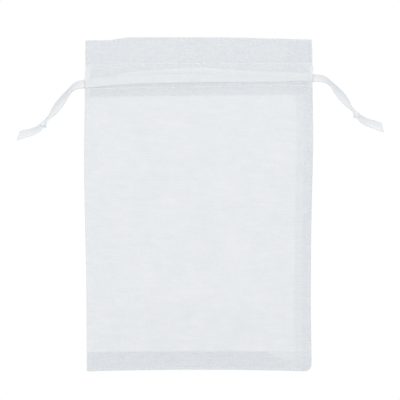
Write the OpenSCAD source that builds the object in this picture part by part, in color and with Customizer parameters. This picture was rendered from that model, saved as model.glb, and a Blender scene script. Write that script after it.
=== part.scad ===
// Sheer drawstring gift pouch, lying flat and empty with its mouth towards +Y.
// Millimetres. The origin is the centre of the face that it lies on, +X is the sewn side, +Z is up.
// The cloth is one rectangle folded along the left side and sewn along the right side and the bottom.

/* [Pouch] */
// Width across the two side edges
pouch_w = 150; // [130:1:180]
// Length from the bottom seam to the top fold
pouch_l = 220; // [200:1:260]
// Thickness of one layer of cloth with its crinkle
cloth_t = 0.3; // [0.2:0.05:0.35]
// Clear height between the two facings at the mouth
mouth_gap = 4.6; // [4.5:0.1:8]
// How far the raised middle stays back from the side edges at the bottom
flank_w = 18; // [14:1:24]

/* [Hem and casing] */
// Depth of the hem that is turned down inside
hem_depth = 39; // [37:0.5:45]
// Height of the header above the upper stitch row
header_h = 17; // [17:0.1:17.3]
// Height between the two stitch rows
casing_h = 17; // [17:0.1:18]
// Clear height inside the casing, for two ribbons one over the other
casing_gap = 1.5; // [1.5:0.1:2.5]
// Distance from one stitch to the next
stitch_pitch = 5; // [4:0.5:10]
// Length of one stitch
stitch_l = 2; // [1:0.1:3]
// Thickness of the sewing thread
thread_t = 0.3; // [0.2:0.05:0.35]

/* [Seam allowances] */
// Width of the wider side allowance
side_allowance = 10.5; // [8:0.5:14]
// Width of the narrower side allowance, which is trimmed
side_allowance_trimmed = 5.5; // [4:0.5:7]
// Width of the bottom allowances
bottom_allowance = 13; // [10:0.5:15]

/* [Drawstrings] */
// Width of the ribbon
ribbon_w = 6; // [4:0.1:6]
// Thickness of the ribbon
ribbon_t = 0.3; // [0.2:0.05:0.3]
// Distance below the top fold at which the left string comes out
left_exit_drop = 30.6; // [30:0.1:30.7]
// Distance below the top fold at which the right string comes out
right_exit_drop = 26.6; // [26.6:0.1:27]
// Distance below the top fold at which the left string turns back, at the right side
left_return_drop = 20.3; // [20.2:0.1:20.3]
// Distance below the top fold at which the right string turns back, at the left side
right_return_drop = 23; // [22:0.1:23.3]
// Length of each knot along the ribbon
knot_l = 7; // [6:0.5:9]
// Radius of each knot
knot_r = 2.2; // [2:0.1:2.6]

/* [Hidden] */

// Clearance between pieces that pass each other
gap = 0.3;
half_w = pouch_w / 2;
half_l = pouch_l / 2;

// Heights of the layers at the mouth, from the resting face up
back_facing_z = cloth_t + casing_gap;
front_facing_z = back_facing_z + cloth_t + mouth_gap;
front_z = front_facing_z + cloth_t + casing_gap;

// Places along Y
hem_low_y = half_l - hem_depth;
casing_high_y = half_l - header_h;
casing_low_y = casing_high_y - casing_h;
bottom_inner_y = -half_l + bottom_allowance;

// The facings stop short of the side edges, where the strings turn back
facing_half_w = half_w - 3.6;
return_x = facing_half_w + 0.8;
run_end_x = half_w + 0.2;

// The left string lies next to the outer cloth, the right string next to the facings
outer_front_z = front_z - gap - ribbon_t;
inner_front_z = outer_front_z - gap - ribbon_t;
outer_back_z = cloth_t + gap;
inner_back_z = outer_back_z + ribbon_t + gap;

// Heights along Y at which the two strings come out
left_exit_y = half_l - left_exit_drop;
right_exit_y = half_l - right_exit_drop;

// Centre lines of the free ribbons, from the pivot to the knot, and of the tails beyond it.
// Each has one list of places in plan, and a height for the front and the back ribbon at each place.
left_free_plan = [
    [-78.5, 79], [-82, 77.6], [-85.1, 75.2], [-87.8, 72.1], [-90.3, 68.7],
    [-92.8, 65.3], [-95.3, 61.9], [-97.9, 58.6], [-100.4, 55.7], [-102.5, 53.2]
];
right_free_plan = [
    [78.5, 83.3], [82, 82.7], [85.3, 81.1], [88.3, 78.6], [91, 75.4],
    [93.7, 72], [96.4, 68.6], [99.1, 65.1], [101.6, 62.1], [103.9, 59.5]
];
left_tail_plan = [
    [-102.5, 53.2], [-104.3, 51.2], [-107.1, 49.2], [-110.6, 47.9], [-114.8, 46.8], [-119.2, 45.5]
];
right_tail_plan = [
    [103.9, 59.5], [105.7, 57.6], [108.4, 55.6], [111.9, 54], [116.2, 52.6], [121.2, 50.8]
];
left_front_heights = [8.05, 7.3, 5.7, 4.1, 2.9, 2.1, 1.7, 1.8, 2.3, 2.5];
left_back_heights = [0.75, 0.6, 0.5, 0.5, 0.5, 0.5, 0.6, 0.9, 1.5, 1.8];
right_front_heights = [7.45, 6.8, 5.4, 3.9, 2.8, 2.1, 1.7, 1.8, 2.3, 2.5];
right_back_heights = [1.35, 1, 0.7, 0.5, 0.5, 0.5, 0.6, 0.9, 1.5, 1.8];
tail_front_heights = [2.5, 2.2, 1.5, 1, 0.9, 0.9];
tail_back_heights = [1.8, 1.5, 0.8, 0.4, 0.3, 0.3];

// Places in plan joined with their heights
function lifted(plan, heights) = [for (i = [0:len(plan) - 1]) [plan[i][0], plan[i][1], heights[i]]];

// Level sideways direction at point i of a path
function sideways(path, i) =
    let (step = path[min(i + 1, len(path) - 1)] - path[max(i - 1, 0)])
    [-step[1], step[0], 0] / norm([step[0], step[1]]);

// The four corners of the ribbon at point i of a path, where it has a share of its full width
function ribbon_ring(path, i, share) =
    let (side = sideways(path, i) * share * ribbon_w / 2, up = [0, 0, ribbon_t / 2])
    [path[i] + side + up, path[i] - side + up, path[i] - side - up, path[i] + side - up];

// A flat ribbon swept along a path, its width level all the way
module ribbon(path, shares) {
    last = 4 * (len(path) - 1);
    polyhedron(
        [for (i = [0:len(path) - 1]) each ribbon_ring(path, i, shares[i])],
        concat(
            [[0, 1, 2, 3]],
            [for (i = [0:4:last - 4], j = [0:3])
                let (k = (j + 1) % 4)
                each [[i + j, i + 4 + j, i + 4 + k], [i + j, i + 4 + k, i + k]]],
            [[last + 3, last + 2, last + 1, last]]
        ),
        convexity = 4
    );
}

// A tail of ribbon, square at both ends. It starts just past the middle of the knot, where the free ribbon ends.
module tail(path) {
    start = path[0] + 0.1 * (path[1] - path[0]);
    ribbon(concat([start], [for (i = [1:len(path) - 1]) path[i]]), [for (p = path) 1]);
}

// A free ribbon with a round end about the pivot on which it turns
module free_ribbon(path) {
    level_step = [path[0][0] - path[1][0], path[0][1] - path[1][1], 0];
    back = level_step / norm(level_step) * ribbon_w / 2;
    turns = [80:-16:16];
    ribbon(
        concat([for (a = turns) path[0] + back * sin(a)], path),
        concat([for (a = turns) cos(a)], [for (p = path) 1])
    );
}

// A straight run of ribbon in the casing, from its exit at one side to its turn at the other
module casing_run(exit_x, exit_y, turn_x, turn_y, z) {
    half = ribbon_w / 2;
    translate([0, 0, z]) linear_extrude(ribbon_t)
        polygon([[exit_x, exit_y - half], [turn_x, turn_y - half],
                 [turn_x, turn_y + half], [exit_x, exit_y + half]]);
}

// The turn of a string round the side of the mouth, from the front casing to the back one
module string_return(x, y, low_z, high_z) {
    translate([x, y - ribbon_w / 2, low_z]) cube([ribbon_t, ribbon_w, high_z + ribbon_t - low_z]);
}

// A barrel-shaped knot along the ribbon, on the surface that the pouch lies on
module knot(place, direction) {
    translate([place[0], place[1], knot_r]) rotate([0, 90, direction]) rotate_extrude($fn = 48)
        polygon(concat([[0, -knot_l / 2]],
            [for (a = [-60:20:60]) [knot_r * cos(a) ^ 0.5, knot_l / 2 * sin(a) / sin(60)]],
            [[0, knot_l / 2]]));
}

// A row of stitches along X, centred on the pouch, each one filling the height h between two layers
module stitch_row_x(y, z, h, half_span) {
    count = floor((2 * half_span - stitch_l) / stitch_pitch);
    for (i = [0:count])
        translate([(i - count / 2) * stitch_pitch - stitch_l / 2, y - thread_t / 2, z])
            cube([stitch_l, thread_t, h]);
}

// A row of stitches along Y
module stitch_row_y(x, z, h, low_y, high_y) {
    for (y = [low_y:stitch_pitch:high_y - stitch_l])
        translate([x - thread_t / 2, y, z]) cube([thread_t, stitch_l, h]);
}

// A sheet of even height under a faceted top surface: faces and rim run clockwise seen from above
module sheet(points, faces, rim) {
    count = len(points);
    under = [for (p = points) p - [0, 0, cloth_t]];
    polyhedron(
        concat(points, under),
        concat(
            faces,
            [for (f = faces) [for (i = [len(f) - 1:-1:0]) f[i] + count]],
            [for (i = [0:len(rim) - 1])
                let (a = rim[i], b = rim[(i + 1) % len(rim)]) [b, a, a + count, b + count]]
        ),
        convexity = 4
    );
}

// A side wall in the YZ plane between the back and front panels, up to the lower stitch row
module side_wall(x) {
    translate([x, 0, 0]) rotate([90, 0, 90]) linear_extrude(cloth_t)
        polygon([[-half_l, cloth_t], [casing_low_y - 1, cloth_t], [casing_low_y - 1, front_z],
                 [hem_low_y, front_z], [-half_l, 2 * cloth_t]]);
}

// The side of the mouth at the header, which slides inwards between the facings as the mouth gathers
module mouth_side(x) {
    translate([x, casing_high_y + gap, back_facing_z + cloth_t + gap])
        cube([cloth_t, half_l - casing_high_y - 2 * gap, mouth_gap - 2 * gap]);
}

module back_panel() {
    color("whitesmoke")
        translate([-half_w, -half_l, 0]) cube([pouch_w, pouch_l, cloth_t]);
}

module front_panel() {
    top = front_z + cloth_t;
    raised_x = half_w - flank_w;
    raised_y = -half_l + flank_w;
    color("white")
        sheet(
            [[-raised_x, raised_y, top], [raised_x, raised_y, top],
             [half_w, hem_low_y, top], [half_w, half_l, top],
             [-half_w, half_l, top], [-half_w, hem_low_y, top],
             [-half_w, -half_l, 3 * cloth_t], [half_w, -half_l, 3 * cloth_t]],
            [[0, 5, 4, 3, 2, 1], [0, 1, 7, 6], [1, 2, 7], [0, 6, 5]],
            [6, 5, 4, 3, 2, 7]
        );
}

module left_fold() {
    color("whitesmoke") side_wall(-half_w);
}

module right_seam_edge() {
    color("gainsboro") side_wall(half_w - cloth_t);
}

module bottom_seam_edge() {
    color("gainsboro")
        translate([-half_w + cloth_t, -half_l, cloth_t]) cube([pouch_w - 2 * cloth_t, 2 * cloth_t, cloth_t]);
}

module side_allowance_wide() {
    color("gainsboro")
        translate([half_w - side_allowance, bottom_inner_y + 1, cloth_t])
            cube([side_allowance - cloth_t, hem_low_y - bottom_inner_y - 1, cloth_t]);
}

module side_allowance_narrow() {
    color("lightgray")
        translate([half_w - side_allowance_trimmed, bottom_inner_y + 1, 2 * cloth_t + thread_t])
            cube([side_allowance_trimmed - 2 * cloth_t, hem_low_y - bottom_inner_y - 1, cloth_t]);
}

module bottom_allowance_back() {
    color("gainsboro")
        translate([-half_w + 2 * cloth_t, -half_l + 2 * cloth_t, cloth_t])
            cube([pouch_w - 4 * cloth_t, bottom_allowance - 2 * cloth_t, cloth_t]);
}

module bottom_allowance_front() {
    edge = 1.6;
    color("lightgray")
        translate([-half_w + 2, -half_l + edge, 2 * cloth_t + thread_t])
            cube([pouch_w - 4, bottom_allowance - edge, cloth_t]);
}

module side_seam_stitches() {
    color("white")
        stitch_row_y(half_w - 1.4, 2 * cloth_t, thread_t, bottom_inner_y + 2, hem_low_y);
}

module bottom_seam_stitches() {
    color("white") stitch_row_x(-half_l + 2, 2 * cloth_t, thread_t, half_w - 2.5);
}

module front_hem_facing() {
    color("white")
        translate([-facing_half_w, hem_low_y, front_facing_z])
            cube([2 * facing_half_w, hem_depth - cloth_t, cloth_t]);
}

module back_hem_facing() {
    color("white")
        translate([-facing_half_w, hem_low_y, back_facing_z])
            cube([2 * facing_half_w, hem_depth - cloth_t, cloth_t]);
}

module front_top_fold() {
    color("whitesmoke")
        translate([-facing_half_w, half_l - cloth_t, front_facing_z])
            cube([2 * facing_half_w, cloth_t, front_z - front_facing_z]);
}

module back_top_fold() {
    color("whitesmoke")
        translate([-facing_half_w, half_l - cloth_t, cloth_t])
            cube([2 * facing_half_w, cloth_t, back_facing_z]);
}

module front_upper_casing_stitches() {
    color("white") stitch_row_x(casing_high_y, front_z - casing_gap, casing_gap, facing_half_w);
}

module front_lower_casing_stitches() {
    color("white") stitch_row_x(casing_low_y, front_z - casing_gap, casing_gap, facing_half_w);
}

module back_upper_casing_stitches() {
    color("white") stitch_row_x(casing_high_y, cloth_t, casing_gap, facing_half_w);
}

module back_lower_casing_stitches() {
    color("white") stitch_row_x(casing_low_y, cloth_t, casing_gap, facing_half_w);
}

module left_mouth_fold() {
    color("whitesmoke") mouth_side(-half_w);
}

module right_mouth_seam() {
    color("gainsboro") mouth_side(half_w - cloth_t);
}

module left_string_front_run() {
    color("snow")
        casing_run(-run_end_x, left_exit_y, return_x, half_l - left_return_drop, outer_front_z);
}

module left_string_back_run() {
    color("snow")
        casing_run(-run_end_x, left_exit_y, return_x, half_l - left_return_drop, outer_back_z);
}

module left_string_return() {
    color("snow") string_return(return_x, half_l - left_return_drop, outer_back_z, outer_front_z);
}

module left_string_free_front() {
    color("snow") free_ribbon(lifted(left_free_plan, left_front_heights));
}

module left_string_free_back() {
    color("snow") free_ribbon(lifted(left_free_plan, left_back_heights));
}

module left_string_knot() {
    color("ghostwhite") knot(left_tail_plan[0], 50);
}

module left_string_tail_front() {
    color("snow") tail(lifted(left_tail_plan, tail_front_heights));
}

module left_string_tail_back() {
    color("snow") tail(lifted(left_tail_plan, tail_back_heights));
}

module right_string_front_run() {
    color("snow")
        casing_run(run_end_x, right_exit_y, -return_x, half_l - right_return_drop, inner_front_z);
}

module right_string_back_run() {
    color("snow")
        casing_run(run_end_x, right_exit_y, -return_x, half_l - right_return_drop, inner_back_z);
}

module right_string_return() {
    color("snow")
        string_return(-return_x - ribbon_t, half_l - right_return_drop, inner_back_z, inner_front_z);
}

module right_string_free_front() {
    color("snow") free_ribbon(lifted(right_free_plan, right_front_heights));
}

module right_string_free_back() {
    color("snow") free_ribbon(lifted(right_free_plan, right_back_heights));
}

module right_string_knot() {
    color("ghostwhite") knot(right_tail_plan[0], 131);
}

module right_string_tail_front() {
    color("snow") tail(lifted(right_tail_plan, tail_front_heights));
}

module right_string_tail_back() {
    color("snow") tail(lifted(right_tail_plan, tail_back_heights));
}

back_panel();
front_panel();
left_fold();
right_seam_edge();
bottom_seam_edge();
side_allowance_wide();
side_allowance_narrow();
bottom_allowance_back();
bottom_allowance_front();
side_seam_stitches();
bottom_seam_stitches();
front_hem_facing();
back_hem_facing();
front_top_fold();
back_top_fold();
front_upper_casing_stitches();
front_lower_casing_stitches();
back_upper_casing_stitches();
back_lower_casing_stitches();
left_mouth_fold();
right_mouth_seam();
left_string_front_run();
left_string_back_run();
left_string_return();
left_string_free_front();
left_string_free_back();
left_string_knot();
left_string_tail_front();
left_string_tail_back();
right_string_front_run();
right_string_back_run();
right_string_return();
right_string_free_front();
right_string_free_back();
right_string_knot();
right_string_tail_front();
right_string_tail_back();
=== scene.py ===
import math
import bpy
import numpy as np
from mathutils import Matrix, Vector, noise


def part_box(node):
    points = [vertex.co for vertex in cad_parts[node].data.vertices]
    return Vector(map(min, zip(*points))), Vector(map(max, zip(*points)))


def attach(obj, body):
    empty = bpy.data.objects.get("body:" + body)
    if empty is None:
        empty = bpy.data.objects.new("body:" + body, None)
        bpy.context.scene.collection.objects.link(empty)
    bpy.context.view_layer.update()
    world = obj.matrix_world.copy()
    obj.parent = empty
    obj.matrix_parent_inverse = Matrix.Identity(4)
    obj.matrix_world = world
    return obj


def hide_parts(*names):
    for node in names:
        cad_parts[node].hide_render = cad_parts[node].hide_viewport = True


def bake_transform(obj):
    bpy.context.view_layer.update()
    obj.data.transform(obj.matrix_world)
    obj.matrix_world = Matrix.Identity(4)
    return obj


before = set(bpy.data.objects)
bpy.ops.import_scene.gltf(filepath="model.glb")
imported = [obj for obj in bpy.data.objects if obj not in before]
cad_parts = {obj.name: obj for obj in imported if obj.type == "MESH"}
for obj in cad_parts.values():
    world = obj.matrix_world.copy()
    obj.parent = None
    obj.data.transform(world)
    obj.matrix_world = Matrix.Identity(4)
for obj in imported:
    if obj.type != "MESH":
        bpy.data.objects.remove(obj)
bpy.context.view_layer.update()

mm = 0.001  # every size below is in millimetres


def nodeBox(node):
    low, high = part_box(node)
    return low / mm, high / mm


def middle(node):
    low, high = nodeBox(node)
    return (low + high) / 2


def smooth(t):
    t = np.clip(t, 0, 1)
    return t * t * (3 - 2 * t)


def mix(a, b, share):
    return a + (b - a) * share


# The camera looks straight down through a long lens
view = {"aim": (0.7, 3.1), "height": 1467, "lens": 200, "sensor": 36}

cameraData = bpy.data.cameras.new("camera")
cameraData.lens = view["lens"]
cameraData.sensor_width = view["sensor"]
cameraData.clip_end = 20
camera = bpy.data.objects.new("camera", cameraData)
bpy.context.collection.objects.link(camera)
camera.location = Vector((view["aim"][0], view["aim"][1], view["height"])) * mm
bpy.context.scene.camera = camera
print("camera placed")

# Sizes that come from the frame
pouchHigh = nodeBox("back_panel")[1]
halfWidth, halfLength = pouchHigh.x, pouchHigh.y
hemLow = nodeBox("front_hem_facing")[0].y
lowerRow = middle("front_lower_casing_stitches").y
upperRow = middle("front_upper_casing_stitches").y


# Small helpers for materials
def newMaterial(name):
    material = bpy.data.materials.new(name)
    material.use_nodes = True
    return material, material.node_tree, material.node_tree.nodes["Principled BSDF"]


def mathNode(tree, operation, a, b=None):
    node = tree.nodes.new("ShaderNodeMath")
    node.operation = operation
    for socket, value in zip(node.inputs, (a, b)):
        if isinstance(value, (int, float)):
            socket.default_value = value
        elif value is not None:
            tree.links.new(value, socket)
    return node.outputs[0]


# Noise between 0 and 1 along a stretched copy of the surface coordinates
def noiseNode(tree, vector, scale, detail=2.0):
    mapping = tree.nodes.new("ShaderNodeMapping")
    mapping.inputs["Scale"].default_value = scale
    tree.links.new(vector, mapping.inputs["Vector"])
    texture = tree.nodes.new("ShaderNodeTexNoise")
    texture.inputs["Scale"].default_value = 1.0
    texture.inputs["Detail"].default_value = detail
    tree.links.new(mapping.outputs[0], texture.inputs["Vector"])
    return texture.outputs["Fac"]


# Rounded threads side by side, 0 between them and 1 on their tops
def threads(tree, coordinate, pitch):
    turn = mathNode(tree, "MULTIPLY", coordinate, math.pi / pitch)
    return mathNode(tree, "ABSOLUTE", mathNode(tree, "SINE", turn))


def surfaceCoordinates(tree):
    uv = tree.nodes.new("ShaderNodeUVMap")
    uv.uv_map = "cloth"
    split = tree.nodes.new("ShaderNodeSeparateXYZ")
    tree.links.new(uv.outputs[0], split.inputs[0])
    return uv.outputs[0], split.outputs[0], split.outputs[1]


def bump(tree, shader, height, distance, strength=1.0):
    node = tree.nodes.new("ShaderNodeBump")
    node.inputs["Strength"].default_value = strength
    node.inputs["Distance"].default_value = distance * mm
    tree.links.new(height, node.inputs["Height"])
    tree.links.new(node.outputs[0], shader.inputs["Normal"])


# A 0 to 1 value turned into plus or minus half of amount
def centred(tree, value, amount):
    return mathNode(tree, "MULTIPLY", mathNode(tree, "SUBTRACT", value, 0.5), amount)


# The surface coordinates are in millimetres along and across the threads
organza = {
    "colour": (0.724, 0.758, 0.792), "cover": 0.41, "threadPitch": 0.42,
    "weave": 0.09, "streaks": 0.22, "mottle": 0.22, "crumple": 0.26, "slubs": 0.06,
}


def organzaMaterial():
    material, tree, shader = newMaterial("organza")
    uv, across, along = surfaceCoordinates(tree)
    warp = threads(tree, across, organza["threadPitch"])
    weft = threads(tree, along, organza["threadPitch"])
    weave = mathNode(tree, "MAXIMUM", warp, weft)
    streaks = noiseNode(tree, uv, (0.055, 0.75, 1), 3)
    slubs = noiseNode(tree, uv, (0.9, 0.05, 1), 2)
    mottle = noiseNode(tree, uv, (0.05, 0.045, 1), 3)
    crumple = noiseNode(tree, uv, (0.11, 0.2, 1), 2)
    cover = mathNode(tree, "ADD", centred(tree, weave, organza["weave"]), organza["cover"])
    textures = ((streaks, "streaks"), (mottle, "mottle"), (crumple, "crumple"), (slubs, "slubs"))
    for texture, amount in textures:
        cover = mathNode(tree, "ADD", cover, centred(tree, texture, organza[amount]))
    tree.links.new(cover, shader.inputs["Alpha"])
    shader.inputs["Base Color"].default_value = (*organza["colour"], 1)
    shader.inputs["Roughness"].default_value = 0.55
    shader.inputs["Specular IOR Level"].default_value = 0.25
    shader.inputs["Sheen Weight"].default_value = 0.15
    shader.inputs["Sheen Roughness"].default_value = 0.4
    bump(tree, shader, mathNode(tree, "ADD", weave, streaks), 0.05)
    return material


satin = {"colour": (0.845, 0.868, 0.89), "threadPitch": 0.16}


def satinMaterial():
    material, tree, shader = newMaterial("satin ribbon")
    uv, across, along = surfaceCoordinates(tree)
    warp = threads(tree, across, satin["threadPitch"])
    lustre = noiseNode(tree, uv, (3.0, 0.08, 1), 2)
    shade = noiseNode(tree, uv, (0.25, 0.12, 1), 2)
    ramp = tree.nodes.new("ShaderNodeValToRGB")
    colour = satin["colour"]
    ramp.color_ramp.elements[0].color = (*[c * 0.93 for c in colour], 1)
    ramp.color_ramp.elements[1].color = (*[min(1, c * 1.05) for c in colour], 1)
    tree.links.new(shade, ramp.inputs[0])
    tree.links.new(ramp.outputs[0], shader.inputs["Base Color"])
    rough = mathNode(tree, "ADD", centred(tree, lustre, 0.2), 0.36)
    tree.links.new(rough, shader.inputs["Roughness"])
    shader.inputs["Specular IOR Level"].default_value = 0.5
    shader.inputs["Sheen Weight"].default_value = 0.25
    bump(tree, shader, mathNode(tree, "ADD", warp, lustre), 0.012)
    return material


thread = {"colour": (0.88, 0.905, 0.935), "twistPitch": 0.22}


def threadMaterial():
    material, tree, shader = newMaterial("sewing thread")
    coordinates = tree.nodes.new("ShaderNodeTexCoord")
    split = tree.nodes.new("ShaderNodeSeparateXYZ")
    tree.links.new(coordinates.outputs["Object"], split.inputs[0])
    slant = mathNode(tree, "ADD", split.outputs[0], split.outputs[1])
    twist = threads(tree, slant, thread["twistPitch"] * mm)
    shader.inputs["Base Color"].default_value = (*thread["colour"], 1)
    shader.inputs["Roughness"].default_value = 0.6
    shader.inputs["Sheen Weight"].default_value = 0.2
    bump(tree, shader, twist, 0.015)
    return material


clothMaterial = organzaMaterial()
ribbonMaterial = satinMaterial()
sewingMaterial = threadMaterial()
print("materials ready")


# A sheet of quads through a grid of points, rows by columns, joined round the columns if it is closed
def gridObject(name, points, uv, normals, material, closed=False):
    rows, columns = points.shape[:2]
    spans = columns if closed else columns - 1
    faces = []
    for i in range(rows - 1):
        for j in range(spans):
            k = (j + 1) % columns
            faces.append((i * columns + j, (i + 1) * columns + j, (i + 1) * columns + k, i * columns + k))
    if closed:
        faces.append(tuple(range(columns)))
        faces.append(tuple(rows * columns - 1 - j for j in range(columns)))
    mesh = bpy.data.meshes.new(name)
    mesh.from_pydata((points.reshape(-1, 3) * mm).tolist(), [], faces)
    layer = mesh.uv_layers.new(name="cloth")
    corners = np.empty(len(mesh.loops), dtype=np.int32)
    mesh.loops.foreach_get("vertex_index", corners)
    layer.data.foreach_set("uv", uv.reshape(-1, 2)[corners].ravel().astype(np.float32))
    mesh.shade_smooth()
    if normals is not None:
        mesh.normals_split_custom_set_from_vertices(normals.reshape(-1, 3).tolist())
    mesh.materials.append(material)
    piece = bpy.data.objects.new(name, mesh)
    bpy.context.collection.objects.link(piece)
    return piece


# The whole cloth: heights above the table, how the sides close, and how it creases
cloth = {
    "cell": 1.3, "bottomHeight": 0.3, "middleHeight": 7.9, "rise": 50, "sideHeight": 6.7,
    "tableGap": 0.16, "frontHem": 7.78, "backHem": 1.02, "sideTurns": 9, "slitAngle": 61,
    "slitSquareness": 0.12, "stitchGap": 0.12, "casingBulge": 0.68, "headerBulge": 0.3, "hemDroop": 0.3,
    "facingEnd": 72.9, "gatherFull": 70.0, "waves": 0.30, "creases": 0.05, "pucker": 0.12,
}


def leftEdge(y):
    return 74.1 + 1.6 * np.exp(-((y - 29) / 62) ** 2)


def rightEdge(y):
    swell = 1.4 * np.exp(-((y - 44) / 46) ** 2)
    notch = 0.7 * np.exp(-((y - 90.5) / 3.5) ** 2)
    return 73.9 + swell + notch + 0.5 * smooth((-60 - y) / 50)


# How far the top fold stands above its straight line
def topLine(x):
    return mix(-1.9, 0.1, smooth((x + 62) / 18)) - 1.5 * smooth((x - 5) / 80)


# How far a rounded corner lifts the bottom edge
def cornerRise(x, corner, radius):
    reach = np.clip((np.abs(x) - (corner - radius)) / radius, 0, 1)
    return radius * (1 - np.sqrt(1 - 0.98 * reach ** 2))


# How far the bottom edge stands above its straight line
def bottomLine(x):
    sag = 0.95 - 1.2 * (x / halfWidth) ** 2
    return sag + np.where(x > 0, cornerRise(x, 74.5, 5.0), cornerRise(x, 74.3, 1.6))


# Heights of the back and front layers, before the hem's own folds
def heights(x, y):
    up = y + halfLength
    side = mix(cloth["bottomHeight"], cloth["sideHeight"], smooth(up / (hemLow + halfLength)))
    crown = mix(cloth["bottomHeight"], cloth["middleHeight"], smooth(up / cloth["rise"]))
    crown = np.maximum(crown, side)
    height = side + (crown - side) * (1 - np.abs(x / halfWidth) ** 3.5)
    hem = smooth((y - hemLow + 6) / 11)
    back = mix(cloth["tableGap"], cloth["backHem"], hem)
    front = mix(cloth["tableGap"] + height, cloth["frontHem"], hem)
    return back, front


def sideRadius(y):
    return mix(0.7, 2.0, smooth((y + halfLength) / (hemLow + halfLength)))


# How round the side is at a height: 1 is a half ellipse, and less is squarer, as it is beside a slit
def sideRoundness(y):
    beside = smooth((y - lowerRow) / 3) * smooth((upperRow - y) / 3)
    return mix(1.0, cloth["slitSquareness"], beside)


# How far the cloth is drawn up or down: its end folds are uneven, and so are its two stitch rows
def drawn(x, y):
    ends = smooth((y - 97) / 11) * topLine(x) + smooth((-85 - y) / 22) * bottomLine(x)
    upper = math.exp(-((y - upperRow) / 5.5) ** 2) * mix(-1.9, -0.5, smooth((x + 78) / 34))
    lift = mix(0.4, 2.6, smooth((x + halfWidth) / (2.2 * halfWidth)))
    lower = math.exp(-((y - lowerRow) / 6.5) ** 2) * lift
    return ends + upper + lower


# Soft waves and fine creases across the cloth, and puckers beside the stitch rows
def ripple(x, y, seed):
    broad = noise.noise(Vector((x / 34, y / 24, seed)))
    fine = noise.noise(Vector((x / 26, y / 3.2, seed + 7)))
    nearRow = math.exp(-((y - lowerRow) / 3.5) ** 2) + math.exp(-((y - upperRow) / 3.5) ** 2)
    tuck = noise.noise(Vector((x / 2.6, y / 9, seed + 3)))
    edge = min(1.0, (halfLength - abs(y)) / 22)
    calm = 1 - 0.75 * float(smooth((y - hemLow + 5) / 8))
    soft = (cloth["waves"] * broad * calm + cloth["creases"] * fine) * edge
    return soft + cloth["pucker"] * nearRow * tuck


def flatShares():
    count = round(halfWidth / cloth["cell"])
    return [i / count for i in range(count + 1)]


# Columns round the mouth, as side, share of the flat width, and angle of the side turn
def columnList():
    shares, turns = flatShares(), cloth["sideTurns"]
    quarter = [90 * (i + 1) / turns for i in range(turns)]
    frontRight = [(1, 1, a) for a in reversed(quarter)] + [(1, f, 0) for f in reversed(shares)]
    left = [(-1, f, 0) for f in shares[1:]] + [(-1, 1, a) for a in quarter]
    left += [(-1, 1, 180 - a) for a in reversed(quarter[:-1])]
    left += [(-1, f, 180) for f in reversed(shares)]
    backRight = [(1, f, 180) for f in shares[1:]] + [(1, 1, 180 - a) for a in quarter]
    return frontRight + left + backRight, len(frontRight) - 1, len(frontRight) + len(left) - 1


columns, frontMiddle, backMiddle = columnList()


# How far a layer stands off the middle of the hem, outwards or inwards
def layerOffset(y, inside):
    inCasing = np.clip(abs(2 * y - lowerRow - upperRow) / (upperRow - lowerRow), 0, 1)
    if y < lowerRow:
        droop = cloth["hemDroop"] * (lowerRow - y) / (lowerRow - hemLow)
        opened = cloth["stitchGap"] * float(smooth((y - hemLow + 6) / 11))
        return -cloth["stitchGap"] - droop if inside else opened
    if y <= upperRow:
        reach = cloth["stitchGap"] + cloth["casingBulge"] * (1 - inCasing ** 5)
    else:
        reach = cloth["stitchGap"] + cloth["headerBulge"] * float(smooth((y - upperRow) / 4))
    return -reach if inside else reach


def evenly(low, high, cell):
    count = max(1, round(abs(high - low) / cell))
    return [low + (high - low) * i / count for i in range(count + 1)]


# Rows from the bottom seam up the outside, over the top fold and down the facing
def rowList():
    radius = cloth["stitchGap"] + cloth["headerBulge"]
    top = halfLength - radius
    body = evenly(-halfLength, hemLow - 8, cloth["cell"]) + evenly(hemLow - 8, lowerRow, 0.7)[1:]
    casing = evenly(lowerRow, upperRow, 0.65)[1:]
    header = evenly(upperRow, top, 0.8)[1:]
    rows = [(y, layerOffset(y, False)) for y in body + casing + header]
    marks = {"lower": len(body) - 1, "upper": len(body) + len(casing) - 1}
    for angle in range(20, 180, 20):
        turn = math.radians(angle)
        rows.append((top + radius * math.sin(turn), radius * math.cos(turn)))
    inner = [y for y in reversed(header)] + [upperRow]
    marks["upperInside"] = len(rows) + len(inner) - 1
    inner += list(reversed(casing))[1:] + [lowerRow] + evenly(lowerRow, hemLow, 0.8)[1:]
    rows += [(y, layerOffset(y, True)) for y in inner]
    return rows, marks


rows, marks = rowList()


# Where a thread crossing of the cloth lies
def clothPoint(column, y, offset):
    side, share, angle = column
    turn = math.radians(angle)
    width = rightEdge(y) if side > 0 else leftEdge(y)
    radius = sideRadius(y)
    flat = (width - radius) * share
    back, front = heights(side * flat, y)
    facing = math.copysign(abs(math.cos(turn)) ** sideRoundness(y), math.cos(turn))
    outward = np.array((side * math.sin(turn), 0, facing))
    outward /= np.linalg.norm(outward)
    x = side * (flat + radius * math.sin(turn))
    z = (back + front) / 2 + (front - back) / 2 * facing
    wave = ripple(x, y, 1.5) * max(facing, 0) + 0.4 * ripple(x, y, 40.5) * max(-facing, 0)
    point = np.array((x, y + drawn(x, y), z)) + outward * (offset + wave)
    point[2] = max(point[2], 0.08)
    return point


points = np.array([[clothPoint(c, y, offset) for c in columns] for y, offset in rows])
stepAcross = np.linalg.norm(np.diff(points, axis=1), axis=2).mean(axis=0)
stepAlong = np.linalg.norm(np.diff(points, axis=0), axis=2).mean(axis=1)
across = np.concatenate([[0], np.cumsum(stepAcross)])
along = np.concatenate([[0], np.cumsum(stepAlong)])
clothUv = np.stack(np.meshgrid(across, along), axis=-1)
clothNormals = np.cross(np.gradient(points, axis=0), np.gradient(points, axis=1))
clothNormals /= np.linalg.norm(clothNormals, axis=2, keepdims=True)
print("cloth laid out:", points.shape)


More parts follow.
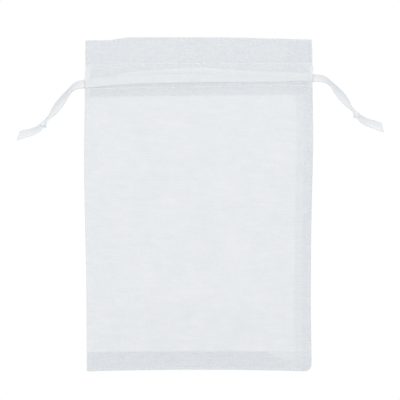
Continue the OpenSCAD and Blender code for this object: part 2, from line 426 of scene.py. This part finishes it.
# Sheer cloth scatters the light on to what is under it, so neither it nor its thread throws a shadow
def letLightThrough(piece):
    piece.visible_shadow = False
    piece.visible_diffuse = False


def gather(piece):
    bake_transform(piece)


# One part of the cloth, cut out of the whole sheet along its threads
def clothPiece(name, rowRange, columnRange, stands):
    r0, r1 = rowRange
    c0, c1 = columnRange
    part = (slice(r0, r1 + 1), slice(c0, c1 + 1))
    piece = gridObject(name, points[part], clothUv[part], clothNormals[part], clothMaterial)
    letLightThrough(piece)
    gather(piece)
    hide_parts(*stands)
    return piece


# Last columns of each casing layer before the side slits, where the ribbons come out
def slitColumns():
    open_ = [i for i, c in enumerate(columns) if cloth["slitAngle"] < c[2] < 180 - cloth["slitAngle"]]
    left = [i for i in open_ if columns[i][0] < 0]
    right = [i for i in open_ if columns[i][0] > 0]
    frontRight = max(i for i in right if i < frontMiddle) + 1
    backRight = min(i for i in right if i > backMiddle) - 1
    return frontRight, min(left) - 1, max(left) + 1, backRight


# First and last columns of each facing, which stops short of the slits so that a ribbon can turn there
def facingColumns():
    edges = [rightEdge(lowerRow) if c[0] > 0 else leftEdge(lowerRow) for c in columns]
    reach = [edge - sideRadius(lowerRow) for edge in edges]
    inside = [
        i for i, c in enumerate(columns) if c[2] in (0, 180) and reach[i] * c[1] < cloth["facingEnd"]
    ]
    front = [i for i in inside if columns[i][2] == 0]
    back = [i for i in inside if columns[i][2] == 180]
    frontSpans = (min(front), frontMiddle), (frontMiddle, max(front))
    backSpans = (min(back), backMiddle), (backMiddle, max(back))
    return frontSpans + backSpans


lastColumn = len(columns) - 1
lastRow = len(rows) - 1
slitFrontRight, slitFrontLeft, slitBackLeft, slitBackRight = slitColumns()
bodyRows = (0, marks["lower"])
casingRows = (marks["lower"], marks["upper"])
headerRows = (marks["upper"], marks["upperInside"])
facingRows = (marks["upperInside"], lastRow)

clothPiece("bodyFrontRight", bodyRows, (0, frontMiddle), ["front_panel", "right_seam_edge"])
clothPiece("bodyLeft", bodyRows, (frontMiddle, backMiddle),
           ["front_panel", "left_fold", "back_panel"])
clothPiece("bodyBackRight", bodyRows, (backMiddle, lastColumn),
           ["back_panel", "right_seam_edge", "bottom_seam_edge"])
clothPiece("casingFrontRight", casingRows, (slitFrontRight, frontMiddle), ["front_panel"])
clothPiece("casingFrontLeft", casingRows, (frontMiddle, slitFrontLeft), ["front_panel"])
clothPiece("casingBackLeft", casingRows, (slitBackLeft, backMiddle), ["back_panel"])
clothPiece("casingBackRight", casingRows, (backMiddle, slitBackRight), ["back_panel"])
clothPiece("headerFrontRight", headerRows, (0, frontMiddle),
           ["front_panel", "front_top_fold", "right_mouth_seam"])
clothPiece("headerLeft", headerRows, (frontMiddle, backMiddle),
           ["front_top_fold", "back_top_fold", "left_mouth_fold"])
clothPiece("headerBackRight", headerRows, (backMiddle, lastColumn),
           ["back_panel", "back_top_fold", "right_mouth_seam"])
for quarter, span in zip(("FrontRight", "FrontLeft", "BackLeft", "BackRight"), facingColumns()):
    stands = ["front_hem_facing" if "Front" in quarter else "back_hem_facing"]
    clothPiece("facing" + quarter, facingRows, span, stands)
print("cloth cut into pieces")

# Seam allowances lie inside, between the layers
allowances = {
    "wide": 10.7, "narrow": 5.6, "bottom": 13.1, "cell": 1.2,
    "hemWide": 16.2, "hemNarrow": 5.2, "besideSlit": (58.0, 70.4), "hemShare": 1.6,
    "lowShare": 0.22, "highShare": 0.42, "most": 0.9,
}


# A point between the back and front layers, a share of the way up but close to the back
def insidePoint(x, y, share):
    back, front = heights(x, y)
    radius = sideRadius(y)
    edge = rightEdge(y) if x > 0 else leftEdge(y)
    beyond = min(max(abs(x) - (edge - radius), 0), 0.97 * radius) / radius
    close = math.sqrt(1 - beyond ** 2)
    centre, half = (back + front) / 2, (front - back) / 2 * close
    rise = min(share * 2 * half, share * 2 * allowances["most"])
    return (x, y + drawn(x, y), centre - half + rise)


def allowancePiece(name, grid, stands, flat):
    spots = np.array(grid)
    normals = np.cross(np.gradient(spots, axis=0), np.gradient(spots, axis=1))
    normals /= np.linalg.norm(normals, axis=2, keepdims=True)
    piece = gridObject(name, spots, spots[:, :, :2] + (31, 17), normals, clothMaterial)
    if "bottomAllowanceFront" not in name:
        letLightThrough(piece)
    gather(piece)
    if stands:
        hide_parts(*stands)
    flat = (flat[0] * mm, flat[1] * mm)
    return piece


# Both side allowances in one strip: inwards from the seam below, and from its fold back over itself
def sideAllowances(name, wide, narrow, lowY, highY, stands):
    places = [(wide * (1 - f), allowances["lowShare"]) for f in evenly(0, 1, allowances["cell"] / wide)]
    places += [(narrow * f, allowances["highShare"]) for f in evenly(0, 1, allowances["cell"] / narrow)]
    grid = []
    for y in evenly(lowY, highY, allowances["cell"]):
        edge = rightEdge(y) - 0.25
        line = []
        for depth, share in places:
            drift = 0.06 * noise.noise(Vector((share * 90, y / 22, 5)))
            line.append(insidePoint(edge - depth * (1 + drift), y, share))
        grid.append(line)
    return allowancePiece(name, grid, stands, (wide + narrow, highY - lowY))


# Half of a bottom allowance, with its loose corner slanting down at the sewn side
def bottomAllowance(name, depth, share, lowX, highX, stands, slant):
    grid = []
    for f in evenly(0, 1, allowances["cell"] / depth):
        line = []
        for x in evenly(lowX, highX, allowances["cell"]):
            top = depth - slant * float(smooth((x - 40) / 20))
            top += 0.3 * noise.noise(Vector((x / 15, depth, 2)))
            line.append(insidePoint(x, -halfLength + 0.4 + (top - 0.4) * f, share))
        grid.append(line)
    return allowancePiece(name, grid, stands, (highX - lowX, depth))


low, high = allowances["lowShare"], allowances["highShare"]
sideStands = ["side_allowance_wide", "side_allowance_narrow"]
sideAllowances("sideAllowances", allowances["wide"], allowances["narrow"],
               -halfLength + 2, hemLow + 4, sideStands)
sideAllowances("headerAllowances", allowances["hemWide"], allowances["hemNarrow"],
               upperRow + 1.2, halfLength - 1.4, [])
hemGrid = [[insidePoint(x, y, allowances["hemShare"]) for x in evenly(*allowances["besideSlit"], 1.2)]
           for y in evenly(hemLow + 1, upperRow - 0.5, 1.0)]
allowancePiece("hemAllowance", hemGrid, [],
               (allowances["besideSlit"][1] - allowances["besideSlit"][0], upperRow - 1.5 - hemLow))
for half, (lowX, highX) in (("Left", (-halfWidth + 1.5, 0)), ("Right", (0, halfWidth - 1.5))):
    bottomAllowance("bottomAllowanceBack" + half, allowances["bottom"], low, lowX, highX,
                    ["bottom_allowance_back"], 0.0)
    bottomAllowance("bottomAllowanceFront" + half, allowances["bottom"] - 0.4, high, lowX, highX,
                    ["bottom_allowance_front"], 5.5)
print("seam allowances laid in")

# One stitch is modelled and copied along each row
# Seams inside have a finer thread
stitch = {
    "length": 2.55, "pitch": 2.6, "radius": 0.15, "lift": 0.1, "hiddenThin": 0.55,
    "sideInset": 1.3, "bottomInset": 1.6, "seamShare": 0.6,
}


# A short round thread whose ends dip into the cloth
def stitchTemplate():
    bpy.ops.object.select_all(action="DESELECT")
    bpy.ops.mesh.primitive_cylinder_add(
        vertices=6, radius=stitch["radius"] * mm, depth=stitch["length"] * mm, rotation=(0, math.pi / 2, 0))
    template = bpy.context.object
    bpy.ops.object.transform_apply(location=True, rotation=True, scale=True)
    bpy.ops.object.mode_set(mode="EDIT")
    bpy.ops.mesh.select_all(action="SELECT")
    bpy.ops.mesh.bisect(plane_co=(0.25 * stitch["length"] * mm, 0, 0), plane_no=(1, 0, 0))
    bpy.ops.mesh.select_all(action="SELECT")
    bpy.ops.mesh.bisect(plane_co=(-0.25 * stitch["length"] * mm, 0, 0), plane_no=(1, 0, 0))
    bpy.ops.object.mode_set(mode="OBJECT")
    for vertex in template.data.vertices:
        reach = abs(vertex.co.x) / (0.5 * stitch["length"] * mm)
        vertex.co.z -= stitch["radius"] * 0.9 * mm * max(0, reach - 0.5) / 0.5
    shape = [tuple(v.co / mm) for v in template.data.vertices]
    faces = [tuple(p.vertices) for p in template.data.polygons]
    bpy.data.objects.remove(template)
    return np.array(shape), faces


stitchShape, stitchFaces = stitchTemplate()


# Stitches end to end along a path of points, each standing on the cloth below it
def stitchRow(name, path, ups, stands, thin=1.0):
    verts, faces = [], []
    lengths = np.concatenate([[0], np.cumsum(np.linalg.norm(np.diff(path, axis=0), axis=1))])
    count = int(lengths[-1] / stitch["pitch"])
    for i in range(count):
        places = [(i + share) * stitch["pitch"] for share in (0.1, 0.9)]
        a, b = [np.array([np.interp(s, lengths, path[:, k]) for k in range(3)]) for s in places]
        centre, run = (a + b) / 2, (b - a) / np.linalg.norm(b - a)
        up = ups[int(np.searchsorted(lengths, places[0]))]
        up = up - run * (up @ run)
        up /= np.linalg.norm(up)
        turned = (stitchShape * (1, thin, thin)) @ np.array((run, np.cross(up, run), up))
        faces += [tuple(k + len(verts) for k in f) for f in stitchFaces]
        verts += (turned + centre + up * stitch["lift"]).tolist()
    mesh = bpy.data.meshes.new(name)
    mesh.from_pydata((np.array(verts) * mm).tolist(), [], faces)
    mesh.shade_smooth()
    mesh.materials.append(sewingMaterial)
    piece = bpy.data.objects.new(name, mesh)
    bpy.context.collection.objects.link(piece)
    letLightThrough(piece)
    gather(piece)
    if stands:
        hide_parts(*stands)
    return piece


quarters = {
    "FrontRight": (slitFrontRight, frontMiddle), "FrontLeft": (frontMiddle, slitFrontLeft),
    "BackLeft": (slitBackLeft, backMiddle), "BackRight": (backMiddle, slitBackRight),
}
for rowName, row in (("Lower", marks["lower"]), ("Upper", marks["upper"])):
    for faceName, span in quarters.items():
        face = "front" if "Front" in faceName else "back"
        cut = slice(span[0], span[1] + 1)
        stitchRow("stitches" + rowName + faceName, points[row, cut], clothNormals[row, cut],
                  [face + "_" + rowName.lower() + "_casing_stitches"])

sideLine = np.array([
    insidePoint(rightEdge(y) - stitch["sideInset"], y, stitch["seamShare"])
    for y in evenly(-halfLength + 5, hemLow + 4, 2)
])
stitchRow("stitchesSideSeam", sideLine, np.tile((0, 0, 1.0), (len(sideLine), 1)),
          ["side_seam_stitches"], stitch["hiddenThin"])
for half, (lowX, highX) in (("Left", (-halfWidth + 3, 0)), ("Right", (0, halfWidth - 6))):
    seamY = -halfLength + stitch["bottomInset"]
    seam = np.array([insidePoint(x, seamY, stitch["seamShare"]) for x in evenly(lowX, highX, 2)])
    stitchRow("stitchesBottomSeam" + half, seam, np.tile((0, 0, 1.0), (len(seam), 1)),
              ["bottom_seam_stitches"], stitch["hiddenThin"])
rawEdge = np.array([
    insidePoint(rightEdge(y) - 0.25 - allowances["hemNarrow"], y, allowances["highShare"] + 0.15)
    for y in evenly(upperRow + 1.5, halfLength - 1.6, 1)
])
stitchRow("stitchesRawEdge", rawEdge, np.tile((0, 0, 1.0), (len(rawEdge), 1)), [])
print("seams sewn")

# The ribbons
ribbon = {"width": 6.0, "thickness": 0.2, "acrossCells": 10, "step": 0.8}


# Evenly spaced points on a smooth curve through the given ones
def curvePoints(path, step):
    path = [np.array(p, dtype=float) for p in path]
    ends = [2 * path[0] - path[1]] + path + [2 * path[-1] - path[-2]]
    fine = []
    for i in range(1, len(ends) - 2):
        a, b, c, d = ends[i - 1:i + 3]
        for t in np.linspace(0, 1, 24, endpoint=False):
            fine.append(0.5 * (2 * b + (c - a) * t + (2 * a - 5 * b + 4 * c - d) * t ** 2
                               + (3 * b - a - 3 * c + d) * t ** 3))
    fine = np.array(fine + [path[-1]])
    lengths = np.concatenate([[0], np.cumsum(np.linalg.norm(np.diff(fine, axis=0), axis=1))])
    places = np.linspace(0, lengths[-1], max(2, round(lengths[-1] / step)))
    return np.stack([np.interp(places, lengths, fine[:, k]) for k in range(3)], axis=1), places


# A flat ribbon along a path: sideways is its width's direction, and curl how far it rolls in on itself
def ribbonObject(name, path, places, sideways, curl, cut=(0, 0), widths=None):
    widths = np.full(len(path), ribbon["width"]) if widths is None else widths
    tangents = np.gradient(path, axis=0)
    tangents /= np.linalg.norm(tangents, axis=1, keepdims=True)
    cells = ribbon["acrossCells"]
    spots = np.linspace(-1, 1, cells + 1)
    grid, uv = [], []
    for i, place in enumerate(places):
        s = sideways[i] - tangents[i] * (sideways[i] @ tangents[i])
        s /= np.linalg.norm(s)
        n = np.cross(tangents[i], s)
        bend, width = max(curl[i], 0.05), widths[i]
        startCut, endCut = [c * max(0, 1 - d / 3) for c, d in zip(cut, (place, places[-1] - place))]
        ring, flat = [], []
        for face in (1, -1):
            for t in (spots if face > 0 else spots[::-1]):
                turn = bend * t
                inward = -math.sin(turn) * s + math.cos(turn) * n
                out = width / 2 * (math.sin(turn) / bend * s + (1 - math.cos(turn)) / bend * n)
                thick = ribbon["thickness"] / 2 * (1 - 0.35 * abs(t) ** 6)
                shear = tangents[i] * t * (startCut + endCut)
                ring.append(path[i] + out + inward * thick * face + shear)
                flat.append((t * width / 2, place))
        grid.append(ring)
        uv.append(flat)
    piece = gridObject(name, np.array(grid), np.array(uv), None, ribbonMaterial, closed=True)
    return piece


def heightOf(node):
    return middle(node).z


# Routes of the free ribbons, as in the design: places in plan, then heights for the front and back ribbon
routes = {
    "left": {
        "plan": [(-75.2, 79.4), (-78.5, 79), (-82, 77.6), (-85.1, 75.2), (-87.8, 72.1), (-90.3, 68.7),
                 (-92.8, 65.3), (-95.3, 61.9), (-97.9, 58.6), (-100.4, 55.7), (-102.5, 53.2), (-104.3, 51.2),
                 (-107.1, 49.2), (-110.6, 47.9), (-114.8, 46.8), (-119.2, 45.5)],
        "front": [8.05, 8.05, 7.3, 5.7, 4.1, 2.9, 2.1, 1.7, 1.8, 2.3, 2.5, 2.2, 1.5, 1, 0.9, 0.9],
        "back": [0.75, 0.75, 0.6, 0.5, 0.5, 0.5, 0.5, 0.6, 0.9, 1.5, 1.8, 1.5, 0.8, 0.4, 0.3, 0.3],
        "roll": [(0, 0), (6, -6), (11, -26), (16, -22), (24, -8), (33, 0), (60, 0)],
        "curl": [(0, 0.35), (9, 0.7), (15, 0.95), (22, 0.75), (29, 0.9), (35, 1.5), (40, 1.1), (48, 0.5),
                 (60, 0.3)],
        "widths": [(0, 5.5), (4, 5.2), (8, 3.9), (12, 3.6), (16, 5.0), (20, 6.0), (25, 6.0), (29, 4.9),
                   (32, 3.3), (35, 2.6), (38, 3.0), (41, 4.0), (47, 5.0), (54, 5.4), (60, 5.7)],
        "cut": 1.9, "ear": (0.55, -0.83),
    },
    "right": {
        "plan": [(75.2, 83.4), (78.5, 83.3), (82, 82.7), (85.3, 81.1), (88.3, 78.6), (91, 75.4), (93.7, 72),
                 (96.4, 68.6), (99.1, 65.1), (101.6, 62.1), (103.9, 59.5), (105.7, 57.6), (108.4, 55.6),
                 (111.9, 54), (116.2, 52.6), (121.2, 50.8)],
        "front": [7.45, 7.45, 6.8, 5.4, 3.9, 2.8, 2.1, 1.7, 1.8, 2.3, 2.5, 2.2, 1.5, 1, 0.9, 0.9],
        "back": [1.35, 1.35, 1, 0.7, 0.5, 0.5, 0.5, 0.6, 0.9, 1.5, 1.8, 1.5, 0.8, 0.4, 0.3, 0.3],
        "roll": [(0, 0), (7, 6), (13, 30), (18, 24), (26, 8), (34, 0), (52, 0), (62, -8)],
        "curl": [(0, 0.3), (10, 0.8), (16, 1.0), (23, 0.8), (30, 0.9), (35, 1.5), (40, 1.1), (48, 0.5),
                 (62, 0.5)],
        "widths": [(0, 4.8), (5, 4.6), (10, 3.6), (14, 3.6), (18, 5.2), (22, 6.0), (26, 6.0), (30, 4.6),
                   (33, 3.2), (35.5, 2.6), (38, 3.0), (42, 4.4), (47, 5.4), (54, 5.8), (62, 5.6)],
        "cut": -1.7, "ear": (-0.62, -0.78),
    },
}

# Each string's run in the casing, from its exit to its turn: x, y, and how deep it lies below the cloth.
# The left string dips under the right one past the middle, so that they can lie in one casing.
strings = {
    "left": {
        "side": -1, "body": "left_string", "freeBody": "left_free_end",
        "plan": [(-75.2, 79.4, 0), (-62, 80.7, 0), (-47, 82.0, 0), (-16, 83.0, 0), (4, 82.9, 0.35),
                 (24, 83.3, 0.7), (46, 83.6, 0.72), (62, 83.9, 0.72), (71.6, 84.0, 0.72)],
        "swapAt": 6,
    },
    "right": {
        "side": 1, "body": "right_string", "freeBody": "right_free_end",
        "plan": [(75.2, 83.4, 0), (58, 84.2, 0), (27, 85.4, 0), (5, 87.6, 0), (-15, 86.6, 0), (-32, 85.2, 0),
                 (-47, 83.6, 0), (-59, 81.3, 0), (-71.6, 80.0, 0)],
        "swapAt": 6,
    },
}
turnOf = {"reach": 1.7, "pinch": 0.7, "swapPinch": 0.17, "swapReach": 20, "curl": 0.12}


# One string inside the casing: along the front, round the far side of the mouth, and back along the back
def casingRibbon(name, string):
    front = heightOf(name + "_string_front_run")
    back = heightOf(name + "_string_back_run")
    plan = string["plan"]
    turnX, turnY, depth = plan[-1]
    middleZ, half = (front + back) / 2, (front - back) / 2 - depth
    path = [(x, y, front - deep) for x, y, deep in plan]
    for angle in (64, 42, 20, 0, -20, -42, -64):
        turn = math.radians(angle)
        path.append((turnX - string["side"] * turnOf["reach"] * math.cos(turn), turnY,
                     middleZ + half * math.sin(turn)))
    path += [(x, y, back + deep) for x, y, deep in reversed(plan)]
    path, places = curvePoints(path, 1.0)
    fromSwap = np.abs(path[:, 0] - string["swapAt"])
    widths = ribbon["width"] * (1 - turnOf["swapPinch"] * (1 - smooth(fromSwap / turnOf["swapReach"])))
    fromExit = np.abs(path[:, 0] - plan[0][0])
    widths -= (ribbon["width"] - routes[name]["widths"][0][1]) * (1 - smooth(fromExit / 14))
    widths -= turnOf["pinch"] * smooth((fromExit - fromExit.max() + 20) / 14)
    sideways = np.tile((0.0, 1.0, 0.0), (len(path), 1))
    curl = np.full(len(path), turnOf["curl"])
    piece = ribbonObject(name + "RibbonInCasing", path, places, sideways, curl, widths=widths)
    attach(piece, string["body"])
    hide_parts(name + "_string_front_run", name + "_string_back_run", name + "_string_return")
    return piece


knot = {"length": 4.9, "width": 4.1, "height": 3.5, "centre": 2.1, "groove": 0.16, "place": 10}


# A running average over seven places
def evened(values):
    return np.convolve(np.pad(values, 3, mode="edge"), np.full(7, 1 / 7), mode="valid")


# One free ribbon from the slit through the knot to its cut end
def freeRibbon(name, layer, route):
    path = [(x, y, z) for (x, y), z in zip(route["plan"], route[layer])]
    path, places = curvePoints(path, ribbon["step"])
    tangents = np.gradient(path, axis=0)
    level = np.stack([-tangents[:, 1], tangents[:, 0], 0 * tangents[:, 0]], axis=1)
    level /= np.linalg.norm(level, axis=1, keepdims=True)
    share = 1.0 if layer == "front" else 0.2
    roll = np.radians(np.interp(places, *zip(*route["roll"])) * share)
    across = np.cross(tangents / np.linalg.norm(tangents, axis=1, keepdims=True), level)
    sideways = level * np.cos(roll)[:, None] + across * np.sin(roll)[:, None]
    curl = evened(np.interp(places, *zip(*route["curl"])))
    widths = evened(np.interp(places, *zip(*route["widths"])))
    piece = ribbonObject(name + "Ribbon" + layer.capitalize(), path, places, sideways, curl,
                         cut=(0, route["cut"]), widths=widths)
    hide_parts(f"{name}_string_free_{layer}", f"{name}_string_tail_{layer}")
    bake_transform(piece)
    return piece


# A small tight overhand knot: a lump with the ribbon's turns pressed into it, and one corner standing out
def knotObject(name, string, route):
    i = knot["place"]
    before, at, after = [np.array(route["plan"][k] + (0,), dtype=float) for k in (i - 1, i, i + 1)]
    run = (after - before) / np.linalg.norm(after - before)
    beside = np.array((-run[1], run[0], 0))
    up = np.array((0, 0, 1.0))
    at[2] = knot["centre"]
    bpy.ops.object.select_all(action="DESELECT")
    bpy.ops.mesh.primitive_uv_sphere_add(segments=48, ring_count=32, radius=mm)
    core = bpy.context.object
    for vertex in core.data.vertices:
        local = np.array(vertex.co) / mm
        lump = 1 + 0.18 * noise.noise(Vector(local * 1.6) + Vector((string["side"] * 3, 5, 1)))
        turns = 2.1 * local[0] + string["side"] * 0.9 * local[1] + 0.5 * local[2]
        groove = 1 - knot["groove"] * abs(math.cos(turns)) ** 6
        local = local * lump * groove * (knot["length"] / 2, knot["width"] / 2, knot["height"] / 2)
        vertex.co = Vector(at + run * local[0] + beside * local[1] + up * local[2]) * mm
    core.data.uv_layers[0].name = "cloth"
    for loop in core.data.uv_layers[0].data:
        loop.uv = (loop.uv[0] * 12, loop.uv[1] * 6)
    core.data.shade_smooth()
    core.data.materials.append(ribbonMaterial)
    ear = np.array(route["ear"] + (0,))
    spine = [at + ear * 0.4 + up * 0.3, at + ear * 1.6 + up * 0.2, at + ear * 2.9 - up * 0.4]
    path, places = curvePoints(spine, 0.4)
    sideways = np.tile(np.cross(up, ear), (len(path), 1))
    earWidths = np.linspace(3.1, 1.1, len(path))
    tab = ribbonObject("ear", path, places, sideways, np.full(len(path), 0.5), widths=earWidths)
    bpy.ops.object.select_all(action="DESELECT")
    tab.select_set(True)
    core.select_set(True)
    bpy.context.view_layer.objects.active = core
    bpy.ops.object.join()
    core.name = name + "Knot"
    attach(core, string["freeBody"])
    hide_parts(name + "_string_knot")
    return core


for name, string in strings.items():
    casingRibbon(name, string)
    knotPiece = knotObject(name, string, routes[name])
    for layer in ("front", "back"):
        freeRibbon(name, layer, routes[name])
print("ribbons threaded and knotted")


# A white light table under the pouch, and an even white room round it
studio = {
    "floor": 14.0, "table": 1.01, "room": 0.84, "key": 3.7, "fill": 0.5, "size": 0.6,
    "keyPlace": (-0.15, 0.95, 1.0), "fillPlace": (0.3, -0.2, 1.3),
}

bpy.ops.object.select_all(action="DESELECT")
bpy.ops.mesh.primitive_plane_add(size=studio["floor"], location=(0, 0, -0.02 * mm))
floor = bpy.context.object
floor.name = "lightTable"
floorMaterial, _, floorShader = newMaterial("light table")
floorShader.inputs["Base Color"].default_value = (0, 0, 0, 1)
floorShader.inputs["Specular IOR Level"].default_value = 0.0
floorShader.inputs["Emission Color"].default_value = (1, 1, 1, 1)
floorShader.inputs["Emission Strength"].default_value = studio["table"]
floor.data.materials.append(floorMaterial)

world = bpy.data.worlds.new("studio")
bpy.context.scene.world = world
world.use_nodes = True
world.node_tree.nodes["Background"].inputs["Color"].default_value = (1, 1, 1, 1)
world.node_tree.nodes["Background"].inputs["Strength"].default_value = studio["room"]


def areaLight(name, place, size, power):
    data = bpy.data.lights.new(name, "AREA")
    data.size = size
    data.energy = power
    light = bpy.data.objects.new(name, data)
    bpy.context.collection.objects.link(light)
    light.location = place
    light.rotation_euler = (-Vector(place)).to_track_quat("-Z", "Y").to_euler()
    return light


areaLight("key", studio["keyPlace"], studio["size"], studio["key"])
areaLight("fill", studio["fillPlace"], studio["size"], studio["fill"])
bpy.context.scene.view_settings.view_transform = "Standard"
bpy.context.scene.cycles.transparent_max_bounces = 48
print("lights set")
